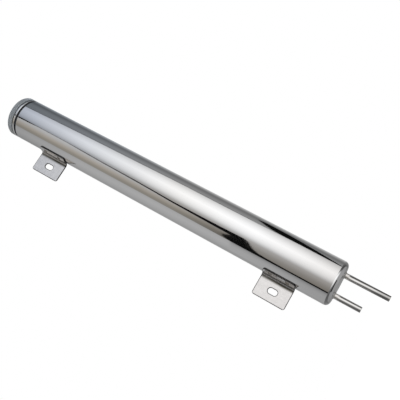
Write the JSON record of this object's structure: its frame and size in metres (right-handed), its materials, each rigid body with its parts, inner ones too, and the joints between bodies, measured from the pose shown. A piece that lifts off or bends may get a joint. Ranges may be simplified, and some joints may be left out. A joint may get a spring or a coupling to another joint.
{
  "type": "coolant overflow tank",
  "caption": "Slim round polished steel coolant overflow tank with a knurled screw cap, two hose pipes out of its foot and slotted side brackets.",
  "frame": {"origin": "midway between the two bracket slots, on the back faces of the plates", "axes": "+Z along the tank towards its cap, +Y out of the back faces of the plates, -X from the tank towards the plates' outer edges"},
  "size_m": [0.0767, 0.0508, 0.4935],
  "materials": {
    "mirror_steel": "mirror polished stainless steel",
    "pipe_steel": "drawn stainless steel tube",
    "weld_metal": "ground and brushed weld",
    "turned_steel": "turned stainless steel",
    "brushed_sheet": "brushed stainless sheet",
    "gasket_rubber": "matt black rubber",
    "cap_aluminium": "satin knurled aluminium"
  },
  "bodies": {
    "tank": {"tank_tube": "mirror_steel", "end_cup": "mirror_steel", "end_seam_weld": "mirror_steel", "return_pipe": "pipe_steel", "vent_standpipe": "pipe_steel", "return_pipe_weld": "weld_metal", "vent_pipe_weld": "weld_metal", "filler_neck": "turned_steel", "neck_weld": "weld_metal", "upper_bracket": "brushed_sheet", "lower_bracket": "brushed_sheet", "upper_bracket_welds": "weld_metal", "lower_bracket_welds": "weld_metal"},
    "gasket": {"cap_gasket": "gasket_rubber"},
    "cap": {"cap_body": "cap_aluminium"}
  },
  "joints": [
    {"name": "cap_lift", "type": "slide", "parent": "tank", "child": "gasket", "axis": [0, 0, 1], "range_m": [0, 0.01]},
    {"name": "cap_turn", "type": "hinge", "parent": "gasket", "child": "cap", "pos_m": [0.0395, -0.0035, 0.21905], "axis": [0, 0, 1], "range_deg": [0, 1440]}
  ],
  "couplings": [
    {"joint": "cap_lift", "follows": "cap_turn", "m_per_rad": 0.00039788}
  ]
}
